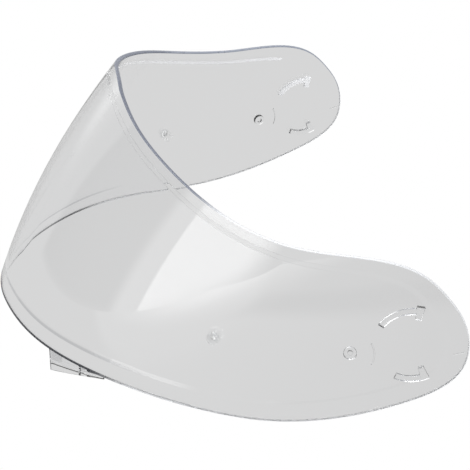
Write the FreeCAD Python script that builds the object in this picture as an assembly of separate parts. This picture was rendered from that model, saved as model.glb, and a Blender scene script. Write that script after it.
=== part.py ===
import FreeCAD, Part
import math
import os

V = FreeCAD.Vector
ORIGIN = V(0, 0, 0)
ACROSS = V(1, 0, 0)
UP = V(0, 0, 1)

# Plan of the sheet along its own upright axis: a tight nose arc, a shoulder arc and a nearly straight arm
NOSE_RADIUS = 67.0
NOSE_ANGLE = 15.2
SHOULDER_RADIUS = 128.0
SHOULDER_ANGLE = 53.6
ARM_RADIUS = 298.0

# Upright bow of the sheet, stronger at the front than at the arms
BOW_HEIGHT = 48.0
FRONT_BOW_RADIUS = 320.0
ARM_BOW_RADIUS = 960.0
ARM_FLARE_SHARE = 0.10

# The shield stands with its axis leaning back by this angle
STANCE_ANGLE = 28.0

# Wall and rim
WALL = 2.3
RIM_WALL = 2.0
RIM_WIDTH = 7.6
RIM_LEDGE_WIDTH = 1.5
# The rim band narrows between two shares of the half outline, to this share of its width along the head
RIM_NARROW_SHARES = (0.58, 0.74)
RIM_HEAD_SHARE = 0.62

# Half outline on the unrolled sheet: distance from the middle along the sheet, height above the front foot
FOOT_POINTS = ((0.0, 0.0), (48.0, 3.2), (96.0, 15.8), (139.0, 30.0), (162.5, 39.3))
TIP_POINTS = ((213.0, 79.0), (226.0, 105.0), (216.0, 124.0), (205.0, 130.6), (193.0, 134.6))
HEAD_POINTS = ((144.0, 120.1), (110.5, 113.4), (77.0, 113.6), (43.0, 115.9), (0.0, 120.1))

# Anti-fog insert pin: place on the sheet and turned sizes
PIN_PLACE = (130.7, 65.1)
PIN_HOLE_RADIUS = 1.6
PIN_RUNNING_FIT = 0.06
PIN_FACE_GAP = 0.3
PIN_FLANGE_RADIUS = 2.9
PIN_FLANGE_THICK = 0.6
PIN_NECK_RADIUS = 1.9
PIN_NECK_LENGTH = 1.4
PIN_HEAD_RADIUS = 2.8
PIN_HEAD_THICK = 0.9
PIN_OFFSET = 0.5
PIN_BEVEL = 0.25
SCREW_HEAD_RADIUS = 2.9
SCREW_HEAD_THICK = 1.0
SCREW_SHANK_RADIUS = 0.9
SCREW_FIT = 0.03
SCREW_END_GAP = 0.4
SLOT_WIDTH = 0.8
SLOT_DEPTH = 0.5
WASHER_RADIUS = 2.6
WASHER_THICK = 0.4

# Hinge features inside each arm
HINGE_PLACE = (202.5, 104.3)
HOOK_OUTER_RADIUS = 17.3
HOOK_WIDTH = 2.6
HOOK_HEIGHT = 2.0
HOOK_BEVEL = 0.5
UPPER_HOOK_ANGLES = (108.0, 174.0)
UPPER_BLOCK_ANGLES = (103.0, 114.0)
UPPER_BLOCK_REACH = 6.0
UPPER_BLOCK_STAND = 0.9
LOWER_HOOK_ANGLES = (-86.0, -35.0)
LOWER_BLOCK_ANGLES = (-47.0, -35.0)
LOWER_BLOCK_REACH = 6.0
BOSS_PLACE = (182.3, 88.5)
BOSS_RADIUS = 2.8
BOSS_HEIGHT = 1.8
BOSS_DIMPLE_RADIUS = 1.3
BOSS_DIMPLE_DEPTH = 1.0
BOSS_BEVEL = 0.4
STOP_RIB_RADIUS = 9.8
STOP_RIB_WIDTH = 0.6
STOP_RIB_HEIGHT = 0.5
STOP_RIB_ANGLES = (1.0, 58.0)
GATE_PLACE = (221.0, 110.3)
GATE_ANGLE = 41.0
GATE_LENGTH = 5.0
GATE_WIDTH = 0.4
GATE_HEIGHT = 0.2

# Lift tab at the foot of the left shoulder, drawn across the shield
TAB_FRONT = 63.5
TAB_BACK = 97.0
TAB_REACH = 6.4
TAB_BACK_REACH = 0.8
TAB_BACK_DROP = 0.9
TAB_ROOT = 0.8
TAB_WALL = 1.1
TAB_TOP_RISE = 0.8
TAB_SHELF_DROP = 1.6
TAB_STATIONS = 5
TAB_POCKET_SHARES = (0.58, 0.72)

# Sampling of the curves and surfaces, and the spare size of what is trimmed away
SHEET_COLUMNS = 30
SHEET_ROWS = 5
SHEET_SPARE = 12.0
OUTLINE_STEPS = 64
NUDGE = 0.01


# Sheet surface

def plan_point(distance):
    """Point and heading of the plan curve at a distance from the middle."""
    run = abs(distance)
    nose_end = math.radians(NOSE_ANGLE)
    shoulder_end = nose_end + math.radians(SHOULDER_ANGLE)
    nose_run = NOSE_RADIUS * nose_end
    shoulder_run = nose_run + SHOULDER_RADIUS * math.radians(SHOULDER_ANGLE)
    arcs = (
        (NOSE_RADIUS, 0.0, 0.0),
        (SHOULDER_RADIUS, nose_end, nose_run),
        (ARM_RADIUS, shoulder_end, shoulder_run),
    )
    stops = (nose_run, shoulder_run, max(run, shoulder_run))
    x = 0.0
    y = 0.0
    heading = 0.0
    for (radius, start, begin), stop in zip(arcs, stops):
        part = min(run, stop) - begin
        if part < 0:
            break
        heading = start + part / radius
        x += radius * (math.sin(heading) - math.sin(start))
        y += radius * (math.cos(start) - math.cos(heading))
    return (math.copysign(x, distance), y, heading)


def skin_point(distance, height):
    """Point of the outer skin."""
    x, y, heading = plan_point(distance)
    front_share = math.cos(heading) ** 2
    side_share = 1 - front_share
    bow = front_share / FRONT_BOW_RADIUS + side_share / ARM_BOW_RADIUS
    inward = bow * (height - BOW_HEIGHT) ** 2 / 2 - ARM_FLARE_SHARE * side_share * height
    side = math.copysign(1, distance)
    return V(x - side * math.sin(heading) * inward, y + math.cos(heading) * inward, height)


def skin_normal(distance, height):
    """Outward normal of the outer skin."""
    along = skin_point(distance + NUDGE, height) - skin_point(distance - NUDGE, height)
    upward = skin_point(distance, height + NUDGE) - skin_point(distance, height - NUDGE)
    return along.cross(upward).normalize()


def sheet_point(distance, height, depth):
    """Point at a depth below the outer skin."""
    return skin_point(distance, height) - skin_normal(distance, height) * depth


def sheet_face(depth):
    """Large face that follows the sheet at one depth and reaches past the outline all round."""
    reach = max(distance for distance, height in TIP_POINTS) + SHEET_SPARE
    top = max(height for distance, height in TIP_POINTS + HEAD_POINTS) + SHEET_SPARE
    grid = []
    for row in range(SHEET_ROWS + 1):
        height = -SHEET_SPARE + (top + SHEET_SPARE) * row / SHEET_ROWS
        line = []
        for column in range(SHEET_COLUMNS + 1):
            distance = reach * (2 * column / SHEET_COLUMNS - 1)
            line.append(sheet_point(distance, height, depth))
        grid.append(line)
    surface = Part.BSplineSurface()
    surface.interpolate(grid)
    return surface.toShape()


def sheet_slab(outer_depth, inner_depth):
    """Untrimmed sheet between two depths."""
    outer = sheet_face(outer_depth)
    inner = sheet_face(inner_depth)
    faces = [outer, inner]
    for outer_edge, inner_edge in zip(outer.Edges, inner.Edges):
        faces.append(Part.makeRuledSurface(outer_edge, inner_edge))
    skin = Part.Compound(faces)
    skin.sewShape(NUDGE / 10)
    return Part.Solid(skin.Shells[0])


# Outline

def outline_curve():
    """Half outline on the unrolled sheet, from the foot round the tip to the head."""
    points = [V(distance, height, 0) for distance, height in FOOT_POINTS + TIP_POINTS + HEAD_POINTS]
    curve = Part.BSplineCurve()
    curve.interpolate(Points=points, InitialTangent=ACROSS, FinalTangent=-ACROSS)
    return curve


def band_share(place_share):
    """Width of the rim band at a share of the half outline, as a share of its width at the foot."""
    start, finish = RIM_NARROW_SHARES
    blend = min(max((place_share - start) / (finish - start), 0), 1)
    return 1 + (RIM_HEAD_SHARE - 1) * blend


def outline_points(inset):
    """Points of the outline in side view, moved inwards over the sheet."""
    curve = outline_curve()
    first = curve.FirstParameter
    last = curve.LastParameter
    points = []
    for step in range(OUTLINE_STEPS + 1):
        place_share = step / OUTLINE_STEPS
        place = first + (last - first) * place_share
        spot = curve.value(place)
        tangent = curve.tangent(place)[0]
        inner = spot + V(-tangent.y, tangent.x, 0) * inset * band_share(place_share)
        skin = sheet_point(max(inner.x, 0), inner.y, WALL / 2)
        points.append(V(0, skin.y, skin.z))
    return points


def outline_cutter(inset):
    """Solid that trims the sheet to its side view."""
    points = outline_points(inset)
    curve = Part.BSplineCurve()
    curve.interpolate(points)
    lead_in = curve.tangent(curve.FirstParameter)[0]
    lead_out = curve.tangent(curve.LastParameter)[0]
    start = points[0] - lead_in * SHEET_SPARE
    finish = points[-1] + lead_out * SHEET_SPARE
    front = min(start.y, finish.y) - SHEET_SPARE
    high_front = V(0, front, finish.z)
    low_front = V(0, front, start.z)
    corners = [points[-1], finish, high_front, low_front, start, points[0]]
    edges = [curve.toShape()]
    for here, there in zip(corners, corners[1:]):
        edges.append(Part.makeLine(here, there))
    face = Part.Face(Part.Wire(edges))
    half_width = NOSE_RADIUS + SHOULDER_RADIUS
    face.translate(-ACROSS * half_width)
    return face.extrude(ACROSS * half_width * 2)


# Seats on the sheet

def seat(place):
    """Placement on the outer skin: first axis rearwards, second axis up the sheet, third axis outwards."""
    distance, height = place
    outward = skin_normal(distance, height)
    rearward = (skin_point(distance + NUDGE, height) - skin_point(distance - NUDGE, height)).normalize()
    upward = outward.cross(rearward)
    turn = FreeCAD.Rotation(rearward, upward, outward, "ZXY")
    return FreeCAD.Placement(skin_point(distance, height), turn)


def seated(shape, place):
    """Copy of a shape drawn at the origin, moved to its seat."""
    moved = shape.copy()
    moved.Placement = seat(place)
    return moved


def disc(radius, top, bottom, centre_x=0.0):
    """Upright cylinder between two levels."""
    return Part.makeCylinder(radius, top - bottom, V(centre_x, 0, bottom), UP)


def sector(inner_radius, outer_radius, angles, top, bottom):
    """Part of a ring between two angles and two levels."""
    start, finish = angles
    ring = Part.makeCylinder(outer_radius, top - bottom, V(0, 0, bottom), UP, finish - start)
    ring = ring.cut(disc(inner_radius, top, bottom))
    ring.rotate(ORIGIN, UP, start)
    return ring


def bevel_level_edges(shape, level, size):
    """Bevels the edges of a feature that lie at one level."""
    low = [edge for edge in shape.Edges if abs(edge.BoundBox.ZMax - level) < NUDGE]
    level_edges = [edge for edge in low if abs(edge.BoundBox.ZMin - level) < NUDGE]
    return shape.makeChamfer(size, level_edges)


# Moulded features

def hook(angles, block_angles, block_reach, block_stand):
    """Arc rib round the hinge with an end block that points at the hinge centre."""
    free = -(WALL + HOOK_HEIGHT)
    root = -(WALL + RIM_WALL) / 2
    rib = sector(HOOK_OUTER_RADIUS - HOOK_WIDTH, HOOK_OUTER_RADIUS, angles, root, free)
    outer = HOOK_OUTER_RADIUS + block_stand
    block = sector(outer - block_reach, outer, block_angles, root, free)
    body = rib.fuse(block).removeSplitter()
    return bevel_level_edges(body, free, HOOK_BEVEL)


def boss():
    """Locating boss with a dimple in its free face."""
    free = -(WALL + BOSS_HEIGHT)
    body = disc(BOSS_RADIUS, -RIM_WALL, free)
    body = bevel_level_edges(body, free, BOSS_BEVEL)
    return body.cut(disc(BOSS_DIMPLE_RADIUS, free + BOSS_DIMPLE_DEPTH, free))


def stop_rib():
    """Fine curved rib behind the locating boss."""
    free = -(WALL + STOP_RIB_HEIGHT)
    return sector(STOP_RIB_RADIUS, STOP_RIB_RADIUS + STOP_RIB_WIDTH, STOP_RIB_ANGLES, -RIM_WALL, free)


def gate_mark():
    """Fine raised line at the arm tip, where the mould was filled."""
    height = (WALL - RIM_WALL) + GATE_HEIGHT
    corner = V(-GATE_LENGTH / 2, -GATE_WIDTH / 2, -(RIM_WALL + GATE_HEIGHT))
    mark = Part.makeBox(GATE_LENGTH, GATE_WIDTH, height, corner)
    mark.rotate(ORIGIN, UP, GATE_ANGLE)
    return mark


def arm_features():
    """Everything moulded inside the left arm."""
    upper = hook(UPPER_HOOK_ANGLES, UPPER_BLOCK_ANGLES, UPPER_BLOCK_REACH, UPPER_BLOCK_STAND)
    lower = hook(LOWER_HOOK_ANGLES, LOWER_BLOCK_ANGLES, LOWER_BLOCK_REACH, 0)
    return [
        seated(upper, HINGE_PLACE),
        seated(lower, HINGE_PLACE),
        seated(boss(), BOSS_PLACE),
        seated(stop_rib(), BOSS_PLACE),
        seated(gate_mark(), GATE_PLACE),
    ]


def pin_hole():
    """Through hole for the insert pin."""
    return disc(PIN_HOLE_RADIUS, WALL, -WALL * 2)


def mirrored(shape):
    """Copy on the right side."""
    return shape.mirror(ORIGIN, ACROSS)


def stood(shape):
    """Copy turned from the sheet axis to the standing pose."""
    turned = shape.copy()
    turned.rotate(ORIGIN, ACROSS, -STANCE_ANGLE)
    return turned


# Lift tab

def foot_spot(distance):
    """Point of the foot outline on the unrolled sheet at a distance from the middle."""
    curve = outline_curve()
    low = curve.FirstParameter
    high = (curve.FirstParameter + curve.LastParameter) / 2
    while high - low > NUDGE / 10:
        middle = (low + high) / 2
        if curve.value(middle).x < distance:
            low = middle
        else:
            high = middle
    return curve.value(low)


def stand_vector(point):
    """Point or direction turned to the standing pose."""
    return FreeCAD.Rotation(ACROSS, -STANCE_ANGLE).multVec(point)


def tab_section(share, floor, hollow):
    """Closed outline across the tab at a share of its length, for the body or for the hollow in it."""
    distance = TAB_FRONT + (TAB_BACK - TAB_FRONT) * share
    spot = foot_spot(distance)
    edge = stand_vector(sheet_point(distance, spot.y, RIM_WALL / 2))
    reach = TAB_REACH * (1 - share) + TAB_BACK_REACH * share
    drop = (edge.z - floor) * (1 - share) + TAB_BACK_DROP * share
    shelf = TAB_SHELF_DROP * (1 - share)
    if hollow:
        root = edge - ACROSS * (TAB_ROOT - TAB_WALL)
        rim = edge + ACROSS * (reach - TAB_WALL)
        top_root = root - UP * (TAB_WALL - TAB_TOP_RISE)
        top_rim = rim - UP * (TAB_WALL + shelf)
        drop += TAB_WALL
    else:
        root = edge - ACROSS * TAB_ROOT
        rim = edge + ACROSS * reach
        top_root = root + UP * TAB_TOP_RISE
        top_rim = rim - UP * shelf
    corners = [top_root, top_rim, rim - UP * drop, root - UP * drop]
    return Part.makePolygon(corners + corners[:1])


def tab_loft(shares, floor, hollow):
    """Solid through the tab sections."""
    return Part.makeLoft([tab_section(share, floor, hollow) for share in shares], True, True)


def lift_tab(floor):
    """Hollow tab, open underneath, with cross ribs."""
    stations = [index / (TAB_STATIONS - 1) for index in range(TAB_STATIONS)]
    body = tab_loft(stations, floor, False)
    wall_share = TAB_WALL / (TAB_BACK - TAB_FRONT)
    start = wall_share
    for end in TAB_POCKET_SHARES:
        body = body.cut(tab_loft([start, (start + end) / 2, end], floor, True))
        start = end + wall_share
    return body


# Shell

def shield_shell():
    """The moulded shield without its lift tab, on the sheet axis."""
    ledge_wall = (RIM_WALL + WALL) / 2
    rim = sheet_slab(0, RIM_WALL).common(outline_cutter(0))
    ledge = sheet_slab(RIM_WALL / 2, ledge_wall).common(outline_cutter(RIM_WIDTH))
    middle = sheet_slab(RIM_WALL / 2, WALL).common(outline_cutter(RIM_WIDTH + RIM_LEDGE_WIDTH))
    shell = rim.fuse([ledge, middle])
    for feature in arm_features():
        shell = shell.fuse(feature).fuse(mirrored(feature))
    hole = seated(pin_hole(), PIN_PLACE)
    return shell.cut(hole).cut(mirrored(hole))


# Pin set, drawn at the origin with the third axis outwards

def pin_post():
    """Inner eccentric pin: flange, eccentric neck and head, and a sleeve through the wall."""
    flange_top = -(WALL + PIN_FACE_GAP)
    flange_bottom = flange_top - PIN_FLANGE_THICK
    neck_bottom = flange_bottom - PIN_NECK_LENGTH
    head_bottom = neck_bottom - PIN_HEAD_THICK
    sleeve_top = PIN_FACE_GAP
    sleeve = disc(PIN_HOLE_RADIUS - PIN_RUNNING_FIT, sleeve_top, flange_top)
    flange = disc(PIN_FLANGE_RADIUS, flange_top, flange_bottom)
    neck = disc(PIN_NECK_RADIUS, flange_bottom, neck_bottom, PIN_OFFSET)
    head = disc(PIN_HEAD_RADIUS, neck_bottom, head_bottom, PIN_OFFSET)
    head = bevel_level_edges(head, head_bottom, PIN_BEVEL)
    post = sleeve.fuse([flange, neck, head]).removeSplitter()
    return post.cut(disc(SCREW_SHANK_RADIUS + SCREW_FIT, sleeve_top, screw_end() - SCREW_END_GAP))


def screw_end():
    """Level of the screw tip."""
    return -(WALL + PIN_FACE_GAP + PIN_FLANGE_THICK)


def pin_washer():
    """Thin washer under the screw head."""
    bottom = PIN_FACE_GAP
    washer = disc(WASHER_RADIUS, bottom + WASHER_THICK, bottom)
    return washer.cut(disc(SCREW_SHANK_RADIUS + SCREW_FIT, bottom + WASHER_THICK, bottom))


def pin_screw():
    """Outer screw with a slotted head."""
    under = PIN_FACE_GAP + WASHER_THICK
    top = under + SCREW_HEAD_THICK
    head = disc(SCREW_HEAD_RADIUS, top, under)
    head = bevel_level_edges(head, top, PIN_BEVEL)
    shank = disc(SCREW_SHANK_RADIUS, under, screw_end())
    length = SCREW_HEAD_RADIUS * 2
    corner = V(-length / 2, -SLOT_WIDTH / 2, top - SLOT_DEPTH)
    slot = Part.makeBox(length, SLOT_WIDTH, SLOT_DEPTH, corner)
    return head.cut(slot).fuse(shank).removeSplitter()


# Assembly

def true_box(shape):
    """Tight box round a shape."""
    return shape.optimalBoundingBox(False, False)


def build():
    """All pieces in the standing pose, with the middle of the foot at the origin."""
    shell = stood(shield_shell())
    tab = lift_tab(true_box(shell).ZMin)
    shell = shell.fuse(tab).Solids[0]
    pieces = {"shield_shell": shell}
    for name, shape in (("pin", pin_post()), ("washer", pin_washer()), ("screw", pin_screw())):
        placed = seated(shape, PIN_PLACE)
        pieces["antifog_" + name + "_left"] = stood(placed)
        pieces["antifog_" + name + "_right"] = stood(mirrored(placed))
    box = true_box(shell)
    shift = V(0, -box.Center.y, -box.ZMin)
    for shape in pieces.values():
        shape.translate(shift)
    return pieces


os.makedirs("parts", exist_ok=True)
for node, solid in build().items():
    solid.exportStep("parts/" + node + ".step")
    box = true_box(solid)
    extent = [round(value, 2) for value in (box.XMin, box.XMax, box.YMin, box.YMax, box.ZMin, box.ZMax)]
    print(node, len(solid.Solids), solid.isValid(), round(solid.Volume, 1), extent)
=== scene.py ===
"""Dressed model of a clear wrap-around helmet shield, standing on its lift tab and arms."""
import logging
import math
from dataclasses import dataclass
from enum import Enum, IntEnum
from functools import cached_property
from typing import Any, Callable, Iterable

import bmesh
import bpy
import numpy as np
from mathutils import Matrix, Vector


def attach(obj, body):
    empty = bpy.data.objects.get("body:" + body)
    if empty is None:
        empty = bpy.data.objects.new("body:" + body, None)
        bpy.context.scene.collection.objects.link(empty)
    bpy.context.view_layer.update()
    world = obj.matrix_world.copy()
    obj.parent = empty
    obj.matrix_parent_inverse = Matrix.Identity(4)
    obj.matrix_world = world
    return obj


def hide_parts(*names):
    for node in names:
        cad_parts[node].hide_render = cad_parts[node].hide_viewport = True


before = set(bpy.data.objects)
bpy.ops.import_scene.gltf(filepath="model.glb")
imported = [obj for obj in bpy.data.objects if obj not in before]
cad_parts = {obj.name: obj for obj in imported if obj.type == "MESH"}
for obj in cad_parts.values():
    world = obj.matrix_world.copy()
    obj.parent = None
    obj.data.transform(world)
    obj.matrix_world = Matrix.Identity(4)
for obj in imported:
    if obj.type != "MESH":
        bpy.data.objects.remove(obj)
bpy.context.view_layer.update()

log = logging.getLogger("shield")

MM = 0.001
WELD = 0.02 * MM
NUDGE = 0.01 * MM
ACROSS = Vector((1, 0, 0))
UP = Vector((0, 0, 1))
ORIGIN = Vector((0, 0, 0))
SHARP_ANGLE = math.radians(35.0)
TURN_STEPS = 48
ARC_STEPS = 24
# Vertex attribute that carries where painted shade darkens the plastic's colour along the rim step.
STEP_SHADE_ATTRIBUTE = "painted_step_shade"

Pair = tuple[float, float]
Triple = tuple[float, float, float]
Mesh = bmesh.types.BMesh
Piece = bpy.types.Object
Socket = bpy.types.NodeSocket


class Side(Enum):
    """Wearer's side, as piece names give it."""

    LEFT = "left"
    RIGHT = "right"


class Zone(IntEnum):
    """Areas of the moulding with a finish of their own, as material numbers; the edge finish
    carries painted shade and light, and the highlight finish a painted highlight.
    """

    WALL = 0
    EDGE = 1
    FEATURE = 2
    STEP = 3
    HOLE = 4
    # Near-opaque white finish that paints highlights on the right side.
    PAINTED_HIGHLIGHT = 5


def share_of(value: float) -> float:
    """Value held between 0 and 1."""
    return min(max(value, 0.0), 1.0)


# Mesh helpers


def shade_mesh(mesh: bpy.types.Mesh) -> None:
    """Shade a mesh smooth, apart from its sharp edges."""
    mesh.shade_smooth()
    mesh.set_sharp_from_angle(angle=SHARP_ANGLE)


def added(name: str, data: bpy.types.ID) -> Piece:
    """Add an object with its data to the scene."""
    obj = bpy.data.objects.new(name, data)
    bpy.context.scene.collection.objects.link(obj)
    return obj


def finished_object(bm: Mesh, name: str, finishes: Iterable[bpy.types.Material] = ()) -> Piece:
    """Turn a bmesh into a smooth-shaded object at the origin.

    Args:
        bm: the mesh, freed afterwards.
        name: object and mesh name.
        finishes: its materials, in the order of the faces' material numbers.

    Returns:
        The new object, linked to the scene.
    """
    bmesh.ops.recalc_face_normals(bm, faces=bm.faces)
    mesh = bpy.data.meshes.new(name)
    for finish in finishes:
        mesh.materials.append(finish)
    bm.to_mesh(mesh)
    bm.free()
    shade_mesh(mesh)
    return added(name, mesh)


def combined(base: Piece, tools: list[tuple[Piece, str]]) -> None:
    """Unite tools with a piece or cut them from it, in place, and remove the tools.

    Args:
        base: piece that is changed.
        tools: pairs of an object and a boolean operation, UNION or DIFFERENCE.
    """
    for tool, operation in tools:
        step = base.modifiers.new(tool.name, "BOOLEAN")
        step.operation = operation
        step.solver = "EXACT"
        step.object = tool
    graph = bpy.context.evaluated_depsgraph_get()
    result = bpy.data.meshes.new_from_object(base.evaluated_get(graph))
    base.modifiers.clear()
    old = base.data
    base.data = result
    result.name = base.name
    bpy.data.meshes.remove(old)
    for tool, _ in tools:
        mesh = tool.data
        bpy.data.objects.remove(tool)
        bpy.data.meshes.remove(mesh)
    shade_mesh(result)


def mapped_grid(columns: int, rows: int, place: Callable[[int, int], Vector],
                zone: Callable[[int, int], int] | None = None,
                strength: Callable[[int, int], float] | None = None) -> Mesh:
    """Make a grid and move each of its vertices to a place given by its column and row.

    Args:
        columns: vertices along the first direction.
        rows: vertices along the second direction.
        place: gives a vertex's point.
        zone: gives the material number of the face after a vertex.
        strength: gives the strength of the painted step shade at a vertex, kept as an attribute.

    Returns:
        The shaped mesh, with coinciding vertices merged.
    """
    bm = bmesh.new()
    bmesh.ops.create_grid(bm, x_segments=columns - 1, y_segments=rows - 1, size=1)
    line = bm.verts.layers.float.new(STEP_SHADE_ATTRIBUTE) if strength else None

    def numbers(spot: Vector) -> Pair:
        """Column and row of a spot on the flat grid, with fractions."""
        return (spot.x + 1) / 2 * (columns - 1), (spot.y + 1) / 2 * (rows - 1)

    if zone:
        for face in bm.faces:
            face.material_index = zone(*(int(part) for part in numbers(face.calc_center_median())))
    for vert in bm.verts:
        column, row = (round(part) for part in numbers(vert.co))
        vert.co = place(column, row)
        if line:
            vert[line] = strength(column, row)
    bmesh.ops.remove_doubles(bm, verts=bm.verts, dist=WELD)
    bmesh.ops.dissolve_degenerate(bm, dist=WELD / 2, edges=bm.edges)
    return bm


def spin(bm: Mesh, geom: list, angle: float, steps: int, full: bool) -> None:
    """Spin geometry round the upright axis.

    Args:
        bm: the mesh.
        geom: what is spun.
        angle: how far, in radians.
        steps: number of steps.
        full: whether the last step meets the first.
    """
    bmesh.ops.spin(
        bm, geom=geom, cent=ORIGIN, axis=UP, angle=angle, steps=steps, use_merge=full,
        use_duplicate=False, use_normal_flip=False, space=Matrix.Identity(4), dvec=ORIGIN,
    )


def soften(bm: Mesh, edges: list[bmesh.types.BMEdge], radius: float, segments: int) -> None:
    """Round edges of a mesh.

    Args:
        bm: the mesh.
        edges: edges to round.
        radius: offset of the rounding.
        segments: its number of facets.
    """
    bmesh.ops.bevel(
        bm, geom=edges, offset=radius, offset_type="OFFSET", affect="EDGES", segments=segments,
        profile=0.5, material=-1, clamp_overlap=True,
    )


def quarter_round(steps: int) -> list[Pair]:
    """Shares of a radius that a quarter turn leaves off the side and off the face."""
    angles = [math.pi / 2 / steps * step for step in range(steps + 1)]
    return [(1 - math.cos(angle), 1 - math.sin(angle)) for angle in angles]


def turned(profile: Iterable[Pair], offset: float = 0.0) -> Mesh:
    """Spin a profile of radius and height pairs into a closed turned body.

    Args:
        profile: points from the axis to the axis, or a closed ring of points.
        offset: distance of the axis from the origin along X.

    Returns:
        The turned body.
    """
    bm = bmesh.new()
    verts = [bm.verts.new((radius, 0, height)) for radius, height in profile]
    edges = [bm.edges.new(pair) for pair in zip(verts, verts[1:])]
    spin(bm, verts + edges, math.tau, TURN_STEPS, True)
    bmesh.ops.remove_doubles(bm, verts=bm.verts, dist=WELD / 4)
    bmesh.ops.translate(bm, vec=(offset, 0, 0), verts=bm.verts)
    bmesh.ops.recalc_face_normals(bm, faces=bm.faces)
    return bm


def arc_rib(inner: float, outer: float, angles: Pair, root: float, free: float,
            rounding: float) -> Mesh:
    """Rib that follows an arc, with its free edges rounded.

    Args:
        inner: inner radius.
        outer: outer radius.
        angles: first and last angle in degrees.
        root: level of the buried root.
        free: level of the free face.
        rounding: radius of the free edges.

    Returns:
        The closed rib.
    """
    square_turn = 0.7
    bm = bmesh.new()
    corners = ((inner, root), (outer, root), (outer, free), (inner, free))
    verts = [bm.verts.new((radius, 0, level)) for radius, level in corners]
    face = bm.faces.new(verts)
    start, finish = (math.radians(angle) for angle in angles)
    bmesh.ops.rotate(bm, verts=verts, cent=ORIGIN, matrix=Matrix.Rotation(start, 3, "Z"))
    spin(bm, [face] + list(face.edges) + verts, finish - start, ARC_STEPS, False)
    bmesh.ops.recalc_face_normals(bm, faces=bm.faces)
    rim = [
        edge for edge in bm.edges
        if all(abs(vert.co.z - free) < WELD for vert in edge.verts)
        and edge.calc_face_angle(0) > square_turn
    ]
    soften(bm, rim, rounding, 4)
    return bm


def block(size: Triple, level: float, turn: float = 0.0) -> Mesh:
    """Square block round the upright axis.

    Args:
        size: its length, width and height.
        level: level of its middle.
        turn: how far it is turned about the axis.

    Returns:
        The block.
    """
    bm = bmesh.new()
    bmesh.ops.create_cube(bm, size=1)
    bmesh.ops.scale(bm, vec=size, verts=bm.verts)
    bmesh.ops.rotate(bm, verts=bm.verts, matrix=Matrix.Rotation(turn, 3, "Z"))
    bmesh.ops.translate(bm, vec=(0, 0, level), verts=bm.verts)
    return bm


# Shield surface


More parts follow.
